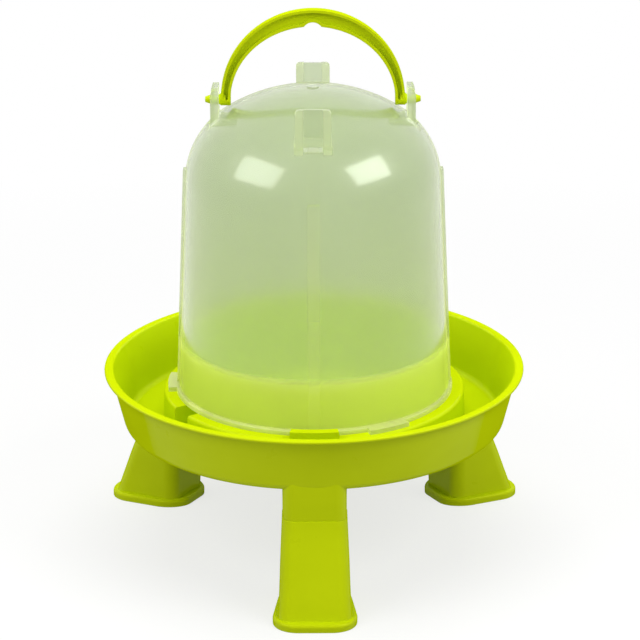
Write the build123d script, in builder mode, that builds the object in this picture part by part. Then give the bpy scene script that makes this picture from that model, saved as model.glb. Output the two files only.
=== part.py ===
from build123d import *
import os
from math import atan2, cos, degrees, hypot, radians, sin, sqrt, tan

# Poultry drinker: a translucent tank dome stands upside down in a round
# drinking tray and is locked by a bayonet. Three push-in legs carry the tray,
# and a bail handle swings in two ears on the crown of the dome.
# Millimetres. The origin is where the drinker's axis meets the floor, +Z is up
# and the front leg points along -Y.

# Drinking bowl and its lip
rim_radius = 150.0
lip_overhang = 4.4
lip_thickness = 2.0
lip_outer_fillet = 0.9
lip_inner_fillet = 1.5
bowl_height = 42.0
bowl_flare = 9.6
bowl_corner = 6.8
tray_wall = 2.4

# Pedestal ring that the dome stands on
pedestal_height = 25.3
pedestal_draft = 0.8
pedestal_fillet = 2.2

# Collar that stands up inside the dome
collar_rise = 37.0
collar_wall = 2.2
collar_edge_fillet = 0.6
collar_clearance = 0.6

# Water outlet, a notch through the ledge below the edge of the dome
outlet_azimuth = 210.0
outlet_width = 18.4

# Dome: straight wall, shoulder and crown
dome_wall = 2.2
dome_base_radius = 96.8
dome_taper = 2.74
dome_straight = 155.5
shoulder_radius = 57.3
crown_radius = 118.9
flange_reach = 2.4
flange_height = 3.6
flange_fillet = 1.4
gate_radius = 4.2
gate_height = 0.6

# Ribs down the outside of the dome
rib_count = 4
rib_width = 8.1
rib_proud = 1.6
rib_length = 161.0

# Bayonet: lugs on the dome turn under hooks on the tray
bayonet_count = 3
lug_azimuth = 60.0
lug_span = 17.0
lug_reach = 5.6
lug_thickness = 3.2
hook_azimuth = 30.0
hook_span = 18.0
hook_wall = 2.5
hook_roof = 2.3
hook_overlap = 3.6
hook_stop_span = 2.0
bayonet_clearance = 0.4

# Crown lugs: two are the handle's ears, all four stand the empty dome upside down
crown_lug_count = 4
crown_lug_setback = 24.4
crown_lug_above_pivot = 9.6
crown_lug_width = 24.1
crown_lug_thickness = 5.6
crown_lug_tip_thickness = 4.1
crown_lug_taper_height = 4.6
crown_lug_corner = 3.0
crown_lug_root_chamfer = 1.4
crown_lug_recess_width = 12.6
crown_lug_recess_depth = 2.8

# Handle, an I-section bail, and the pins that snap into the ears
pivot_below_crown = 8.4
handle_side_clearance = 1.4
handle_swing_clearance = 2.2
handle_end_width = 6.8
handle_crown_width = 11.2
handle_thickness = 8.6
handle_flange = 1.9
handle_web = 2.0
handle_recess_fillet = 1.2
hang_notch_radius = 7.2
hang_notch_depth = 2.9
hang_notch_fillet = 1.2
pin_radius = 3.2
pin_clearance = 0.08
pin_root_radius = 4.2
pin_root_clearance = 0.3
pin_tip_radius = 1.9
pin_tip_length = 3.8

# Legs, hollow from below, on a flanged foot
leg_height = 68.0
leg_wall = 2.4
leg_corner = 9.5
leg_outset = 2.3
leg_top_width = 46.6
leg_top_depth = 31.2
leg_top_fillet = 1.0
leg_widening = 6.2
leg_splay = 25.3
leg_inner_lean = 2.4
foot_lip = 5.9
foot_side_lip = 4.1
foot_height = 5.6
foot_corner = 19.6
foot_fillet = 2.4

# Sockets under the tray and the spigots that push into them
socket_depth = 21.0
socket_step = 1.6
spigot_height = 17.0
spigot_clearance = 0.15
spigot_lead_in = 1.0

# Levels, from the floor up
tray_base = leg_height + socket_depth
tray_floor = tray_base + tray_wall
rim_height = tray_base + bowl_height
ledge_height = tray_base + pedestal_height
collar_height = ledge_height + collar_rise
shoulder_start = ledge_height + dome_straight
rib_top = ledge_height + rib_length

# Radii, from the dome's foot outwards
flange_radius = dome_base_radius + flange_reach
lug_radius = flange_radius + lug_reach
hook_inner_radius = lug_radius + bayonet_clearance
hook_roof_radius = lug_radius - hook_overlap
hook_underside = ledge_height + lug_thickness + bayonet_clearance
pedestal_radius = hook_inner_radius + hook_wall
bowl_top_radius = rim_radius - lip_overhang
bowl_base_radius = bowl_top_radius - bowl_flare
bowl_slope = bowl_flare / (bowl_height - lip_thickness)
leg_top_reach = bowl_base_radius + leg_outset
leg_top_near = leg_top_reach - leg_top_depth

# Places round the axis: a leg stands below every hook, the front one at 270 degrees
leg_names = ["leg_back_right", "leg_back_left", "leg_front"]
lug_azimuths = [lug_azimuth + 360 / bayonet_count * i for i in range(bayonet_count)]
hook_azimuths = [hook_azimuth + 360 / bayonet_count * i for i in range(bayonet_count)]
rib_azimuths = [360 / rib_count * i for i in range(rib_count)]
crown_lug_azimuths = [360 / crown_lug_count * i for i in range(crown_lug_count)]
ear_azimuths = [0.0, 180.0]


def level_plane(azimuth, height):
    """Level plane with its x axis pointing outwards at the azimuth."""
    return Plane.XY.offset(height).rotated((0, 0, azimuth))


def upright_plane(azimuth):
    """Upright plane through the axis: x points outwards at the azimuth, y up."""
    return Plane.XZ.rotated((0, 0, azimuth))


def ring_sector(inner, outer, azimuth, span, height):
    """Level piece of a flat ring, centred on the azimuth."""
    with BuildSketch(level_plane(azimuth, height)) as sector:
        with BuildLine():
            near = CenterArc((0, 0), inner, -span / 2, span)
            far = CenterArc((0, 0), outer, -span / 2, span)
            Line(near @ 0, far @ 0)
            Line(near @ 1, far @ 1)
        make_face()
    return sector.sketch


def leg_section(azimuth, height, width, near, reach, inset):
    """Rounded rectangle between two radii, drawn in all round by the inset."""
    with BuildSketch(level_plane(azimuth, height)) as section:
        with Locations(((near + reach) / 2, 0)):
            RectangleRounded(reach - near - 2 * inset, width - 2 * inset, leg_corner - inset)
    return section.sketch


def leg_top_section(azimuth, height, inset):
    """Section of the leg's upper end, which the socket and the spigot share."""
    return leg_section(azimuth, height, leg_top_width, leg_top_near, leg_top_reach, inset)


def dome_radius(height):
    """Outer radius of the dome's straight wall at a height."""
    return dome_base_radius - (height - ledge_height) * tan(radians(dome_taper))


# The wall runs tangent into the shoulder arc and that tangent into the crown arc
shoulder_x = dome_radius(shoulder_start) - shoulder_radius * cos(radians(dome_taper))
shoulder_z = shoulder_start - shoulder_radius * sin(radians(dome_taper))
crown_z = shoulder_z - sqrt((crown_radius - shoulder_radius) ** 2 - shoulder_x**2)
crown_top = crown_z + crown_radius
crown_start = degrees(atan2(shoulder_z - crown_z, shoulder_x))


def dome_outline(inset):
    """Half of the dome's section, from the axis out to the wall less the inset."""
    with BuildSketch(Plane.XZ) as outline:
        with BuildLine():
            shoulder = CenterArc(
                (shoulder_x, shoulder_z),
                shoulder_radius - inset,
                dome_taper,
                crown_start - dome_taper,
            )
            crown = CenterArc((0, crown_z), crown_radius - inset, crown_start, 90 - crown_start)
            Polyline(
                shoulder @ 0,
                (dome_base_radius - inset / cos(radians(dome_taper)), ledge_height),
                (0, ledge_height),
                crown @ 1,
            )
        make_face()
    return outline.sketch


# The crown lugs are rooted just inside the outer skin of the shoulder
pivot_height = crown_top - pivot_below_crown
crown_lug_height = pivot_height + crown_lug_above_pivot
crown_lug_inner_radius = dome_radius(shoulder_start) - crown_lug_setback
crown_lug_outer_radius = crown_lug_inner_radius + crown_lug_thickness
crown_lug_far_corner = hypot(crown_lug_outer_radius, crown_lug_width / 2)
crown_lug_root = (
    shoulder_z + sqrt(shoulder_radius**2 - (crown_lug_far_corner - shoulder_x) ** 2) - dome_wall
)

with BuildPart() as dome:
    revolve(dome_outline(0), axis=Axis.Z)
    # Foot flange with its upper edge rounded
    with BuildSketch(Plane.XY.offset(ledge_height)):
        Circle(flange_radius)
    extrude(amount=flange_height)
    flange_top = dome.faces().filter_by(Plane.XY).sort_by(Axis.Z)[-1]
    fillet(flange_top.outer_wire().edges(), flange_fillet)
    # Crown lugs, drawn in section: upright inside, tapered towards the tip outside
    for azimuth in crown_lug_azimuths:
        with BuildSketch(upright_plane(azimuth)):
            with BuildLine():
                Polyline(
                    (crown_lug_inner_radius, crown_lug_root),
                    (crown_lug_outer_radius, crown_lug_root),
                    (crown_lug_outer_radius, crown_lug_height - crown_lug_taper_height),
                    (crown_lug_inner_radius + crown_lug_tip_thickness, crown_lug_height),
                    (crown_lug_inner_radius, crown_lug_height),
                    close=True,
                )
            make_face()
        extrude(amount=crown_lug_width / 2, both=True)
        chamfer(dome.edges(Select.NEW), crown_lug_root_chamfer)
    tips = dome.faces().filter_by(Plane.XY).group_by(Axis.Z)[-1]
    tip_ends = [edge for tip in tips for edge in tip.edges().sort_by(SortBy.LENGTH)[:2]]
    fillet(tip_ends, crown_lug_corner)
    # Ribs follow the taper of the wall
    for azimuth in rib_azimuths:
        with BuildSketch(upright_plane(azimuth)):
            with BuildLine():
                Polyline(
                    (dome_radius(ledge_height) - dome_wall, ledge_height),
                    (dome_radius(ledge_height) + rib_proud, ledge_height),
                    (dome_radius(rib_top) + rib_proud, rib_top),
                    (dome_radius(rib_top) - dome_wall, rib_top),
                    close=True,
                )
            make_face()
        extrude(amount=rib_width / 2, both=True)
    # Bayonet lugs stand out from the flange
    for azimuth in lug_azimuths:
        lug = ring_sector(dome_base_radius - dome_wall, lug_radius, azimuth, lug_span, ledge_height)
        extrude(lug, amount=lug_thickness)
    # Moulding gate mark in the middle of the crown
    with BuildSketch(Plane.XY.offset(crown_top - dome_wall / 2)):
        Circle(gate_radius)
    extrude(amount=dome_wall / 2 + gate_height)
    # Inside of the tank
    revolve(dome_outline(dome_wall), axis=Axis.Z, mode=Mode.SUBTRACT)
    # Recess down the outer face of every crown lug
    for azimuth in crown_lug_azimuths:
        with BuildSketch(level_plane(azimuth, crown_lug_height)):
            with Locations((crown_lug_outer_radius, 0)):
                Rectangle(2 * crown_lug_recess_depth, crown_lug_recess_width)
        extrude(amount=crown_lug_root - crown_lug_height, mode=Mode.SUBTRACT)
    # Pin holes through the two ears
    for azimuth in ear_azimuths:
        with BuildSketch(Plane.YZ.rotated((0, 0, azimuth)).offset(crown_lug_inner_radius)):
            with Locations((0, pivot_height)):
                Circle(pin_radius + pin_clearance)
        extrude(amount=crown_lug_thickness, mode=Mode.SUBTRACT)
dome.part.label = "dome"

collar_radius = dome_radius(collar_height) - dome_wall - collar_clearance

with BuildPart() as tray:
    # Outside of the bowl, solid for now
    with BuildSketch(Plane.XZ) as bowl_outside:
        with BuildLine():
            Polyline(
                (0, tray_base),
                (bowl_base_radius, tray_base),
                (bowl_top_radius, rim_height - lip_thickness),
                (rim_radius, rim_height - lip_thickness),
                (rim_radius, rim_height),
                (0, rim_height),
                close=True,
            )
        make_face()
        fillet(bowl_outside.vertices().group_by(Axis.X)[-1], lip_outer_fillet)
        fillet(bowl_outside.vertices().group_by(Axis.Y)[0].sort_by(Axis.X)[-1], bowl_corner)
    revolve(axis=Axis.Z)
    # Socket blocks run up into the rounded corner of the bowl
    for azimuth in hook_azimuths:
        extrude(leg_top_section(azimuth, leg_height, socket_step), amount=socket_depth + bowl_corner)
    # Inside of the bowl
    with BuildSketch(Plane.XZ) as bowl_inside:
        with BuildLine():
            Polyline(
                (0, tray_floor),
                (bowl_base_radius + bowl_slope * tray_wall - tray_wall, tray_floor),
                (bowl_base_radius + bowl_slope * (rim_height - tray_base) - tray_wall, rim_height),
                (0, rim_height),
                close=True,
            )
        make_face()
        bowl_inside_corner = bowl_inside.vertices().group_by(Axis.Y)[0].sort_by(Axis.X)[-1]
        fillet(bowl_inside_corner, bowl_corner - tray_wall)
    revolve(axis=Axis.Z, mode=Mode.SUBTRACT)
    lip_top = tray.faces().filter_by(Plane.XY).sort_by(Axis.Z)[-1]
    fillet(lip_top.inner_wires()[0].edges(), lip_inner_fillet)
    # Pedestal, ledge and collar
    with BuildSketch(Plane.XZ) as ring:
        with BuildLine():
            Polyline(
                (collar_radius - collar_wall, tray_base),
                (collar_radius - collar_wall, collar_height),
                (collar_radius, collar_height),
                (collar_radius, ledge_height),
                (pedestal_radius, ledge_height),
                (pedestal_radius + pedestal_draft, tray_floor),
                (pedestal_radius + pedestal_draft, tray_base),
                close=True,
            )
        make_face()
        fillet(ring.vertices().group_by(Axis.Y)[-2].sort_by(Axis.X)[-1], pedestal_fillet)
        fillet(ring.vertices().group_by(Axis.Y)[-1], collar_edge_fillet)
    revolve(axis=Axis.Z)
    # Hooks rise flush from the pedestal; a slot under the roof ends at the stop
    for azimuth in hook_azimuths:
        with BuildSketch(upright_plane(azimuth - hook_span / 2)):
            with BuildLine():
                Polyline(
                    (hook_roof_radius, tray_floor),
                    (pedestal_radius + pedestal_draft, tray_floor),
                    (pedestal_radius, ledge_height),
                    (pedestal_radius, hook_underside + hook_roof),
                    (hook_roof_radius, hook_underside + hook_roof),
                    close=True,
                )
            make_face()
        revolve(axis=Axis.Z, revolution_arc=hook_span)
        slot_azimuth = azimuth + hook_stop_span
        extrude(
            ring_sector(flange_radius, hook_inner_radius, slot_azimuth, hook_span, ledge_height),
            amount=hook_underside - ledge_height,
            mode=Mode.SUBTRACT,
        )
    # Groove below the ledge, closed by a web on each side of the outlet
    with BuildSketch(Plane.XY.offset(tray_base)):
        Circle(pedestal_radius - tray_wall)
        Circle(collar_radius, mode=Mode.SUBTRACT)
        with PolarLocations(pedestal_radius, 1, outlet_azimuth):
            Rectangle(pedestal_radius, outlet_width + 2 * tray_wall, mode=Mode.SUBTRACT)
    extrude(amount=ledge_height - tray_wall - tray_base, mode=Mode.SUBTRACT)
    # Outlet from the collar out into the bowl, down to its floor
    with BuildSketch(level_plane(outlet_azimuth, tray_floor)):
        Rectangle(
            pedestal_radius + 2 * pedestal_draft, outlet_width, align=(Align.MIN, Align.CENTER)
        )
        Circle(collar_radius, mode=Mode.SUBTRACT)
    extrude(amount=ledge_height - tray_floor, mode=Mode.SUBTRACT)
    # Sockets open downwards
    for azimuth in hook_azimuths:
        pocket = leg_top_section(azimuth, leg_height, socket_step + tray_wall)
        extrude(pocket, amount=socket_depth, mode=Mode.SUBTRACT)
tray.part.label = "tray"

# Handle
handle_half_span = crown_lug_inner_radius - handle_side_clearance
handle_rise = crown_lug_inner_radius - handle_swing_clearance
notch_centre = (
    pivot_height + handle_rise - handle_crown_width + hang_notch_depth - hang_notch_radius
)
handle_half = handle_thickness / 2
handle_end = handle_half_span - handle_end_width / 2

with BuildPart() as handle:
    # Front view: an elliptical bow with straight ends down past the pivot
    with BuildSketch(Plane.XZ) as bow:
        with Locations((0, pivot_height)):
            Ellipse(handle_half_span, handle_rise)
            Ellipse(
                handle_half_span - handle_end_width,
                handle_rise - handle_crown_width,
                mode=Mode.SUBTRACT,
            )
            Rectangle(
                3 * handle_half_span,
                2 * handle_rise,
                align=(Align.CENTER, Align.MAX),
                mode=Mode.SUBTRACT,
            )
        with Locations((-handle_end, pivot_height), (handle_end, pivot_height)):
            Rectangle(handle_end_width, handle_thickness)
        with Locations((0, notch_centre)):
            Circle(hang_notch_radius, mode=Mode.SUBTRACT)
        notch_mouth = bow.vertices().sort_by_distance((0, notch_centre))[:2]
        fillet(notch_mouth, hang_notch_fillet)
    extrude(amount=handle_half, both=True)
    # Side view: the ends are rounded about the pivot
    with BuildSketch(Plane.YZ):
        with Locations((0, pivot_height)):
            Circle(handle_half)
            Rectangle(handle_thickness, 2 * handle_rise, align=(Align.CENTER, Align.MIN))
    extrude(amount=handle_half_span, both=True, mode=Mode.INTERSECT)
    # Recesses in both faces leave a web and a flange all round
    for side in (-1, 1):
        with BuildSketch(Plane.XZ.offset(side * handle_web / 2)) as recess:
            with Locations((0, pivot_height)):
                Ellipse(handle_half_span - handle_flange, handle_rise - handle_flange)
                Ellipse(
                    handle_half_span - handle_end_width + handle_flange,
                    handle_rise - handle_crown_width + handle_flange,
                    mode=Mode.SUBTRACT,
                )
                Rectangle(
                    3 * handle_half_span,
                    2 * handle_rise,
                    align=(Align.CENTER, Align.MAX),
                    mode=Mode.SUBTRACT,
                )
            with Locations((0, notch_centre)):
                Circle(hang_notch_radius + handle_flange, mode=Mode.SUBTRACT)
            fillet(recess.vertices().group_by(Axis.Y)[0], handle_recess_fillet)
        extrude(amount=side * handle_half, mode=Mode.SUBTRACT)
    # Pins: a cone at the root, the bearing in the ear and a snap-in tip
    with BuildSketch(Plane.XZ):
        with BuildLine():
            Polyline(
                (handle_end, pivot_height),
                (handle_end, pivot_height + pin_root_radius),
                (handle_half_span, pivot_height + pin_root_radius),
                (crown_lug_inner_radius - pin_root_clearance, pivot_height + pin_radius),
                (crown_lug_outer_radius, pivot_height + pin_radius),
                (crown_lug_outer_radius + pin_tip_length, pivot_height + pin_tip_radius),
                (crown_lug_outer_radius + pin_tip_length, pivot_height),
                close=True,
            )
        make_face()
    revolve(axis=Axis((0, 0, pivot_height), (1, 0, 0)))
    mirror(about=Plane.YZ)
handle.part.label = "handle"


def leg_bottom_section(azimuth, inset):
    """Section of the leg's body where it meets the floor."""
    near = leg_top_near + leg_inner_lean
    reach = leg_top_reach + leg_splay
    return leg_section(azimuth, 0, leg_top_width + leg_widening, near, reach, inset)


def foot_section(azimuth, inset):
    """Outline of the foot flange, which stands out from the body all round."""
    near = leg_top_near + leg_inner_lean - foot_lip
    reach = leg_top_reach + leg_splay * (1 - foot_height / leg_height) + foot_lip
    width = leg_top_width + leg_widening + 2 * foot_side_lip
    with BuildSketch(level_plane(azimuth, 0)) as section:
        with Locations(((near + reach) / 2, 0)):
            RectangleRounded(reach - near - 2 * inset, width - 2 * inset, foot_corner - inset)
    return section.sketch


def make_leg(azimuth):
    """One leg: a tapered body on a flanged foot, with the spigot on top."""
    spigot_inset = socket_step + tray_wall + spigot_clearance
    with BuildPart() as leg:
        # Body with its upper edge rounded, on the foot flange
        loft([leg_bottom_section(azimuth, 0), leg_top_section(azimuth, leg_height, 0)], ruled=True)
        fillet(leg.faces().sort_by(Axis.Z)[-1].edges(), leg_top_fillet)
        with BuildPart(mode=Mode.PRIVATE) as foot:
            extrude(foot_section(azimuth, 0), amount=foot_height)
            fillet(foot.faces().sort_by(Axis.Z)[-1].edges(), foot_fillet)
        add(foot.part)
        # Hollow from below
        extrude(
            foot_section(azimuth, leg_wall), amount=foot_height - leg_wall, mode=Mode.SUBTRACT
        )
        loft(
            [
                leg_bottom_section(azimuth, leg_wall),
                leg_top_section(azimuth, leg_height - leg_wall, leg_wall),
            ],
            ruled=True,
            mode=Mode.SUBTRACT,
        )
        # Spigot, hollow as well
        extrude(leg_top_section(azimuth, leg_height, spigot_inset), amount=spigot_height)
        chamfer(leg.faces().sort_by(Axis.Z)[-1].edges(), spigot_lead_in)
        extrude(
            leg_top_section(azimuth, leg_height - leg_wall, spigot_inset + leg_wall),
            amount=spigot_height,
            mode=Mode.SUBTRACT,
        )
    return leg


os.makedirs("parts", exist_ok=True)
for name, azimuth in zip(leg_names, hook_azimuths):
    leg = make_leg(azimuth)
    leg.part.label = name
    export_step(leg.part, f"parts/{name}.step")
export_step(tray.part, "parts/tray.step")
export_step(dome.part, "parts/dome.step")
export_step(handle.part, "parts/handle.step")
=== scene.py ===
"""Poultry drinker: materials, shaped legs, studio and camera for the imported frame, in metres."""

import math

import bmesh
import bpy
from mathutils import Matrix, Vector


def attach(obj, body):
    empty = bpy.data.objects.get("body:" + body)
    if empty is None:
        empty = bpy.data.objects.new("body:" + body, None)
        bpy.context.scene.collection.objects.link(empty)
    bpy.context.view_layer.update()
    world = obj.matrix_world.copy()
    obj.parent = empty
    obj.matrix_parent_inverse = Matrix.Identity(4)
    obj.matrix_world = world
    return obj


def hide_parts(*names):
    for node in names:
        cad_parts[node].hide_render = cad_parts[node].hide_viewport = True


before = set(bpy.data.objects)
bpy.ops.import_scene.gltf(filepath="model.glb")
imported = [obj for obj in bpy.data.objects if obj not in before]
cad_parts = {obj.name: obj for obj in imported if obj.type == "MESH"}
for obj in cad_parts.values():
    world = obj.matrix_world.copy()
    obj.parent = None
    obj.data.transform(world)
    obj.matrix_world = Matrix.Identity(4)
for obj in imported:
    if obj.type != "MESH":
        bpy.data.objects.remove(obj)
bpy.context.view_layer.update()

# Camera, fitted to the photograph
CAMERA_PLACE = (0.0, -1.5715, 0.7273)
CAMERA_PITCH = math.radians(19.76)
CAMERA_YAW = math.radians(0.16)
CAMERA_ROLL = math.radians(-0.18)
CAMERA_LENS_MM = 131.64
CAMERA_SENSOR_MM = 36

# Legs: where each one points, its height, and the radii of its outer and inner side at the floor
LEG_AZIMUTHS = {"leg_front": -90, "leg_back_left": 150, "leg_back_right": 30}
LEG_HEIGHT = 0.068
LEG_OUTER = 0.1636
LEG_INNER = 0.1095
# By how much the inner side is narrower at the floor, as a share; by nothing at the top
LEG_WEDGE = 0.23
# From this height up the walls close in on the middle of the top, there by these shares
LEG_DRAW_START = 0.036
LEG_DRAW_SIDE = 0.048
LEG_DRAW_RADIAL = 0.072
LEG_DRAW_POWER = 1.5
LEG_TOP_MIDDLE = 0.1227
LEG_TOP_TOLERANCE = 0.0001
# The spigot on top of a leg keeps its shape: its half sizes, and how far its root goes down
SPIGOT_HALF_WIDTH = 0.0196
SPIGOT_HALF_DEPTH = 0.0119
SPIGOT_ROOT = 0.001
LEG_CUTS = 14
LEG_CREASE_ANGLE = math.radians(28)
MERGE_DISTANCE = 2e-6
CUT_TOLERANCE = 1e-6

# Green plastic: two colours of its mottle, and the painted highlight on its sharp edges
GREEN_DEEP = (0.555, 0.680, 0.002)
GREEN_LIGHT = (0.600, 0.730, 0.003)
GREEN_EDGE_HIGHLIGHT = (0.68, 0.80, 0.05)
GREEN_GLOSS = (1.0, 0.95, 0.12)

# Milky plastic: two colours of its clear part and of its haze, and the haze's painted green of the
# tray's light
CLEAR_DEEP = (0.635, 0.710, 0.540)
CLEAR_LIGHT = (0.665, 0.735, 0.575)
HAZE_DEEP = (0.81, 0.88, 0.73)
HAZE_LIGHT = (0.84, 0.91, 0.77)
HAZE_PAINTED_TRAY_LIGHT = (0.93, 0.95, 0.34)
SHADOW_TINT = (0.97, 0.99, 0.92)

# How milky the dome is all over, where its wall is thicker, and where the collar's light is
# painted.
# Each edge is where a change starts and ends: a height, a half width, or for the inside of a lug a
# distance from the dome's axis
MILKINESS = 0.13
RIB_MILK = 0.10
RIB_SIDE = (0.0041, 0.0043)
RIB_TOP = (0.2753, 0.2755)
LUG_MILK = 0.26
LUG_SIDE = (0.0124, 0.0134)
LUG_FOOT = (0.3045, 0.3055)
LUG_INSIDE = (0.0640, 0.0645)
RECESS_MILK = 0.06
RECESS_SIDE = (0.0064, 0.0070)
FLANGE_MILK = 0.50
FLANGE_TOP = (0.1174, 0.1189)
# Painted light from the collar: the skirt is milkier, and so greener, up to this height; its wall
# is no thicker there
COLLAR_GLOW_MILK = 0.50
COLLAR_GLOW_TOP = (0.1493, 0.1543)
# Painted tray light: the haze is painted green by the first share up to the first height, and by
# the second from the second
TRAY_LIGHT = (0.85, 0.30)
TRAY_LIGHT_REACH = (0.1483, 0.2813)
# Share of the haze that is lit from in front, and not through the wall
CHALKINESS = 0.20

EDGE_RADIUS = 0.0005
MOTTLE_RANGE = (0.30, 0.70)
WHITE = (1, 1, 1)

# Studio: the lamps look at this point
LAMP_TARGET = Vector((0, 0, 0.25))
WORLD_STRENGTH = 0.38
FLOOR_HALF = 8.0
FLOOR_GREY = (0.45, 0.45, 0.45)
FLOOR_PALE = (0.9, 0.9, 0.9)
# The seen floor goes from mostly to all white between these distances from the axis
FLOOR_FADE = (0.25, 0.95)
FLOOR_WHITENESS = (0.72, 1.0)


class Nodes:
    """The node tree of a material or a world, and short ways to fill it."""

    def __init__(self, owner, output):
        owner.use_nodes = True
        self.tree = owner.node_tree
        self.tree.nodes.clear()
        self.surface = self.node(output).inputs["Surface"]

    def node(self, kind, inputs=None, **settings):
        """A new node with these properties, and inputs by their names or numbers."""
        node = self.tree.nodes.new(kind)
        for name, value in settings.items():
            setattr(node, name, value)
        for name, value in (inputs or {}).items():
            self.feed(node.inputs[name], value)
        return node

    def feed(self, socket, value):
        """Links a node's output to a socket, or sets a number or a colour there."""
        if isinstance(value, bpy.types.NodeSocket):
            self.tree.links.new(value, socket)
        elif socket.type == "RGBA":
            socket.default_value = (*value, 1)
        else:
            socket.default_value = value

    def show(self, shader):
        """Makes this shader the surface."""
        self.feed(self.surface, shader.outputs[0])

    def math(self, operation, *values, clamp=False):
        """A calculation with one or two values."""
        inputs = dict(enumerate(values))
        node = self.node("ShaderNodeMath", inputs, operation=operation, use_clamp=clamp)
        return node.outputs[0]

    def fold(self, operation, first, *others):
        """The same calculation with one value after the other."""
        for other in others:
            first = self.math(operation, first, other)
        return first

    def remap(self, value, source, target):
        """Maps the source's range to the target's, and stops at its ends."""
        inputs = {"Value": value}
        inputs["From Min"], inputs["From Max"] = source
        inputs["To Min"], inputs["To Max"] = target
        return self.node("ShaderNodeMapRange", inputs).outputs[0]

    def below(self, value, edge, amount=1.0):
        """This amount below the edge, and nothing above it."""
        return self.remap(value, edge, (amount, 0.0))

    def above(self, value, edge):
        """1 above the edge, and nothing below it."""
        return self.remap(value, edge, (0.0, 1.0))

    def place(self, stretch=(1, 1, 1)):
        """Object coordinates, stretched."""
        point = self.node("ShaderNodeTexCoord").outputs["Object"]
        return self.node("ShaderNodeMapping", {"Vector": point, "Scale": stretch}).outputs[0]

    def noise(self, scale, detail=3, roughness=0.5, stretch=(1, 1, 1), distortion=0.0):
        """Noise 0..1, with this many waves to the metre."""
        inputs = {
            "Vector": self.place(stretch),
            "Scale": scale,
            "Detail": detail,
            "Roughness": roughness,
            "Distortion": distortion,
        }
        return self.node("ShaderNodeTexNoise", inputs).outputs["Fac"]

    def mottle(self, value, first, second):
        """Colour that goes from the first to the second over the middle of 0..1."""
        node = self.node("ShaderNodeValToRGB", {0: value})
        stops = zip(node.color_ramp.elements, MOTTLE_RANGE, (first, second))
        for element, position, colour in stops:
            element.position = position
            element.color = (*colour, 1)
        return node.outputs["Color"]

    def mix(self, factor, first, second):
        """Mix of two colours."""
        inputs = {0: factor, 6: first, 7: second}
        return self.node("ShaderNodeMix", inputs, data_type="RGBA").outputs[2]

    def blend(self, factor, first, second):
        """Mix of two shaders."""
        inputs = {0: factor, 1: first.outputs[0], 2: second.outputs[0]}
        return self.node("ShaderNodeMixShader", inputs)

    def facing(self):
        """0 where a surface is seen squarely, to 1 where it is seen along itself."""
        return self.node("ShaderNodeLayerWeight", {"Blend": 0.5}).outputs["Facing"]

    def rounded(self):
        """Normal that rounds the sharp edges."""
        return self.node("ShaderNodeBevel", {"Radius": EDGE_RADIUS}, samples=6).outputs[0]

    def edge(self, rounded):
        """How near a sharp edge a point is, 0..1, from how far the rounded normal turns."""
        flat = self.node("ShaderNodeNewGeometry").outputs["Normal"]
        dot = self.node("ShaderNodeVectorMath", {0: rounded, 1: flat}, operation="DOT_PRODUCT")
        return self.remap(dot.outputs["Value"], (0.72, 0.99), (1.0, 0.0))

    def bump(self, height, distance, normal):
        """Normal from a height 0..1 that stands for so many metres."""
        inputs = {"Height": height, "Distance": distance, "Normal": normal}
        return self.node("ShaderNodeBump", inputs).outputs[0]

    def seen(self):
        """1 for the rays by which camera, gloss or glass see a surface, else 0."""
        path = self.node("ShaderNodeLightPath").outputs
        rays = ("Is Camera Ray", "Is Glossy Ray", "Is Transmission Ray")
        return self.fold("MAXIMUM", *(path[ray] for ray in rays))


def new_material(name):
    """An empty material and its nodes."""
    material = bpy.data.materials.new(name)
    return material, Nodes(material, "ShaderNodeOutputMaterial")


def new_object(name, data):
    """An object in the scene."""
    thing = bpy.data.objects.new(name, data)
    bpy.context.scene.collection.objects.link(thing)
    return thing


def green_plastic():
    """Satin yellow-green polypropylene: faint flow mottle, fine grain, painted highlight on sharp
    edges.
    """
    material, m = new_material("green_plastic")
    normal = m.rounded()
    edge = m.edge(normal)
    flow = m.noise(9, detail=4, roughness=0.55, stretch=(1, 1, 2.2), distortion=0.6)
    body = m.mottle(flow, GREEN_DEEP, GREEN_LIGHT)
    # Painted highlight: a lighter green along sharp edges, broken up by noise
    painted_edge_highlight = m.math("MULTIPLY", edge, m.remap(m.noise(160), (0.4, 0.7), (0.0, 0.5)))
    smudge = m.remap(m.noise(38, detail=5, roughness=0.62), (0.3, 0.7), (0.27, 0.38))
    grain = m.bump(m.noise(900, detail=2, roughness=0.6), 0.00002, normal)
    waves = m.bump(m.noise(26, detail=2, roughness=0.4), 0.00025, grain)
    inputs = {
        "Base Color": m.mix(painted_edge_highlight, body, GREEN_EDGE_HIGHLIGHT),
        "Roughness": m.math("ADD", smudge, m.math("MULTIPLY", edge, 0.10)),
        "IOR": 1.49,
        # Weaker gloss along the surface, which keeps its green there
        "Specular IOR Level": m.remap(m.facing(), (0.25, 0.62), (0.30, 0.0)),
        "Specular Tint": GREEN_GLOSS,
        "Normal": waves,
    }
    m.show(m.node("ShaderNodeBsdfPrincipled", inputs))
    return material


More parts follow.
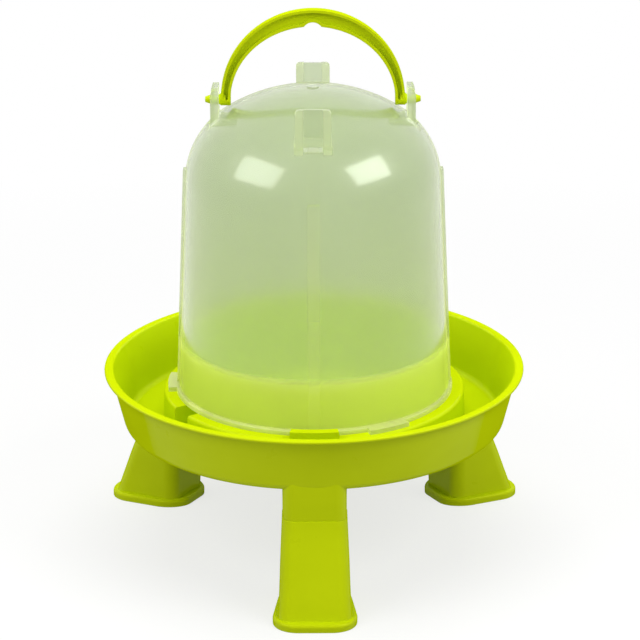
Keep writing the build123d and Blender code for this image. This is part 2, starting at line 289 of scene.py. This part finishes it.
def milky_plastic():
    """Natural polypropylene: glossy, blurs what stands behind it, whiter where its wall is
    thicker; the light of the tray and collar is painted in low down.
    """
    material, m = new_material("translucent_plastic")
    normal = m.rounded()
    cloud = m.noise(16, stretch=(1, 1, 0.35), distortion=0.4)
    wavy = m.bump(m.noise(22, detail=2, roughness=0.4, stretch=(1, 1, 0.5)), 0.0004, normal)
    inputs = {
        "Base Color": m.mottle(cloud, CLEAR_DEEP, CLEAR_LIGHT),
        "Transmission Weight": 0.95,
        "Roughness": 0.24,
        "IOR": 1.36,
        "Coat Weight": 1.0,
        "Coat Roughness": 0.14,
        "Coat IOR": 1.58,
        "Normal": wavy,
        "Coat Normal": wavy,
    }
    clear = m.node("ShaderNodeBsdfPrincipled", inputs)

    # Ribs and lugs stand on the X and Y axes: how far a point is from the nearer axis, and out
    x, y, height = m.node("ShaderNodeSeparateXYZ", {0: m.place()}).outputs
    sides = (m.math("ABSOLUTE", x), m.math("ABSOLUTE", y))
    strip = m.math("MINIMUM", *sides)
    out = m.math("MAXIMUM", *sides)
    rib = m.fold("MULTIPLY", m.below(strip, RIB_SIDE), m.below(height, RIB_TOP), RIB_MILK)
    lug = m.fold(
        "MULTIPLY",
        m.above(height, LUG_FOOT),
        m.below(strip, LUG_SIDE),
        m.above(out, LUG_INSIDE),
        # A lug is thinner between its two sides
        m.remap(strip, RECESS_SIDE, (RECESS_MILK, LUG_MILK)),
    )
    foot = m.below(height, FLANGE_TOP, FLANGE_MILK)
    # Painted light: the skirt by the collar is made milkier by height, for the collar's light in
    # the wall
    painted_collar_glow = m.below(height, COLLAR_GLOW_TOP, COLLAR_GLOW_MILK)
    thickness_and_collar_glow = m.fold("MAXIMUM", rib, lug, foot, painted_collar_glow)
    # A grazing ray crosses more of the wall too
    rim = m.remap(m.facing(), (0.76, 0.95), (0.0, 0.5))
    milk = m.math("ADD", m.math("ADD", rim, thickness_and_collar_glow), MILKINESS, clamp=True)

    # The haze is lit from behind more than from in front; green light from the tray is painted
    # into its colour by height
    painted_tray_light = m.remap(height, TRAY_LIGHT_REACH, TRAY_LIGHT)
    tint = m.mix(painted_tray_light, m.mottle(cloud, HAZE_DEEP, HAZE_LIGHT), HAZE_PAINTED_TRAY_LIGHT)
    glow = m.node("ShaderNodeBsdfTranslucent", {"Color": tint, "Normal": normal})
    chalk = m.node("ShaderNodeBsdfDiffuse", {"Color": tint, "Normal": normal})
    haze = m.blend(m.math("ADD", foot, CHALKINESS), glow, chalk)
    body = m.blend(milk, clear, haze)

    # Light from the lamps reaches what stands inside
    through = m.node("ShaderNodeBsdfTransparent", {"Color": SHADOW_TINT})
    shadow = m.node("ShaderNodeLightPath").outputs["Is Shadow Ray"]
    m.show(m.blend(shadow, body, through))
    return material


def dress(node, material):
    """Gives a CAD node its material."""
    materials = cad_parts[node].data.materials
    materials.clear()
    materials.append(material)


def cut_up(shape, outwards):
    """Cuts a leg's long flat faces into short ones, so that they bend and don't crease."""
    reach = LEG_OUTER - LEG_INNER
    cuts = [(Vector((0, 0, 1)), LEG_HEIGHT * n / LEG_CUTS) for n in range(1, LEG_CUTS)]
    cuts += [(outwards, LEG_INNER + reach * n / LEG_CUTS) for n in range(LEG_CUTS)]
    for normal, distance in cuts:
        bmesh.ops.bisect_plane(
            shape,
            geom=shape.verts[:] + shape.edges[:] + shape.faces[:],
            plane_co=normal * distance,
            plane_no=normal,
            dist=CUT_TOLERANCE,
        )


def moulded(place):
    """Where a point of a leg along X belongs: inner side narrower, top flush with the socket."""
    wedge = LEG_WEDGE * max(0.0, 1 - place.z / LEG_HEIGHT)
    inward = (LEG_OUTER - place.x) / (LEG_OUTER - LEG_INNER)
    place.y *= 1 - wedge * inward
    in_spigot = (
        place.z > LEG_HEIGHT - SPIGOT_ROOT
        and abs(place.y) < SPIGOT_HALF_WIDTH
        and abs(place.x - LEG_TOP_MIDDLE) < SPIGOT_HALF_DEPTH
    )
    if place.z < LEG_HEIGHT + LEG_TOP_TOLERANCE and not in_spigot:
        rise = max(0.0, (place.z - LEG_DRAW_START) / (LEG_HEIGHT - LEG_DRAW_START))
        drawn = rise**LEG_DRAW_POWER
        place.y *= 1 - LEG_DRAW_SIDE * drawn
        place.x -= (place.x - LEG_TOP_MIDDLE) * LEG_DRAW_RADIAL * drawn
    return place


def shaped_leg(node, azimuth, material):
    """Puts a copy in a leg's place, with the form of the real moulding."""
    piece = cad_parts[node]
    mesh = piece.data.copy()
    shape = bmesh.new()
    shape.from_mesh(mesh)
    bmesh.ops.remove_doubles(shape, verts=shape.verts, dist=MERGE_DISTANCE)
    turn = Matrix.Rotation(math.radians(-azimuth), 3, "Z")
    back = turn.inverted()
    cut_up(shape, back @ Vector((1, 0, 0)))
    for vertex in shape.verts:
        vertex.co = back @ moulded(turn @ vertex.co)
    shape.to_mesh(mesh)
    shape.free()
    normals = mesh.attributes.get("custom_normal")
    if normals:
        mesh.attributes.remove(normals)
    mesh.shade_smooth()
    mesh.set_sharp_from_angle(angle=LEG_CREASE_ANGLE)
    mesh.materials.clear()
    mesh.materials.append(material)
    leg = new_object(node + "_moulding", mesh)
    leg.modifiers.new("even_normals", "WEIGHTED_NORMAL").keep_sharp = True
    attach(leg, "base")
    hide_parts(node)


def studio_world():
    """Soft light from all round; camera, gloss and glass see a white backdrop."""
    world = bpy.data.worlds.new("studio")
    bpy.context.scene.world = world
    w = Nodes(world, "ShaderNodeOutputWorld")
    light = w.node("ShaderNodeBackground", {"Color": WHITE, "Strength": WORLD_STRENGTH})
    backdrop = w.node("ShaderNodeBackground", {"Color": WHITE, "Strength": 1.0})
    w.show(w.blend(w.seen(), light, backdrop))


def studio_floor():
    """Pale floor: white where it is seen, with the object's faint shadow on it."""
    mesh = bpy.data.meshes.new("floor")
    half = FLOOR_HALF
    corners = [(-half, -half, 0), (half, -half, 0), (half, half, 0), (-half, half, 0)]
    mesh.from_pydata(corners, [], [(0, 1, 2, 3)])
    plane = new_object("floor", mesh)
    material, m = new_material("floor_white")
    inputs = {"Base Color": FLOOR_GREY, "Roughness": 0.9, "Specular IOR Level": 0.0}
    lit = m.node("ShaderNodeBsdfPrincipled", inputs)
    pale = m.node("ShaderNodeBsdfDiffuse", {"Color": FLOOR_PALE})
    white = m.node("ShaderNodeEmission")
    distance = m.node("ShaderNodeVectorMath", {0: m.place()}, operation="LENGTH")
    whiteness = m.remap(distance.outputs["Value"], FLOOR_FADE, FLOOR_WHITENESS)
    m.show(m.blend(m.seen(), lit, m.blend(whiteness, pale, white)))
    mesh.materials.append(material)


def softbox(name, azimuth, elevation, distance, size, power, mirrored=True):
    """Rectangular area light from a direction; gloss and glass show it when it is mirrored."""
    data = bpy.data.lights.new(name, "AREA")
    data.shape = "RECTANGLE"
    data.size, data.size_y = size
    data.energy = power
    lamp = new_object(name, data)
    turn, tilt = math.radians(azimuth), math.radians(elevation)
    level = math.cos(tilt)
    direction = Vector((math.cos(turn) * level, math.sin(turn) * level, math.sin(tilt)))
    lamp.location = LAMP_TARGET + direction * distance
    lamp.rotation_euler = direction.to_track_quat("Z", "Y").to_euler()
    lamp.visible_camera = False
    lamp.visible_glossy = lamp.visible_transmission = mirrored


def photo_camera():
    """Camera that sees the object as the photograph does."""
    data = bpy.data.cameras.new("camera")
    data.lens = CAMERA_LENS_MM
    data.sensor_width = CAMERA_SENSOR_MM
    camera = new_object("camera", data)
    camera.location = CAMERA_PLACE
    turn = (
        Matrix.Rotation(-CAMERA_YAW, 3, "Z")
        @ Matrix.Rotation(math.pi / 2 - CAMERA_PITCH, 3, "X")
        @ Matrix.Rotation(CAMERA_ROLL, 3, "Z")
    )
    camera.rotation_euler = turn.to_euler()
    bpy.context.scene.camera = camera
    bpy.context.scene.view_settings.view_transform = "Standard"


green = green_plastic()
dress("tray", green)
dress("handle", green)
for leg_node, leg_azimuth in LEG_AZIMUTHS.items():
    shaped_leg(leg_node, leg_azimuth, green)
dress("dome", milky_plastic())

studio_world()
studio_floor()
softbox("softbox_left", -146, 33, distance=1.0, size=(0.68, 0.50), power=3.6)
softbox("softbox_right", -32, 34, distance=1.0, size=(0.62, 0.44), power=4.1)
softbox("softbox_top", 90, 82, distance=1.8, size=(1.6, 1.6), power=24, mirrored=False)
photo_camera()
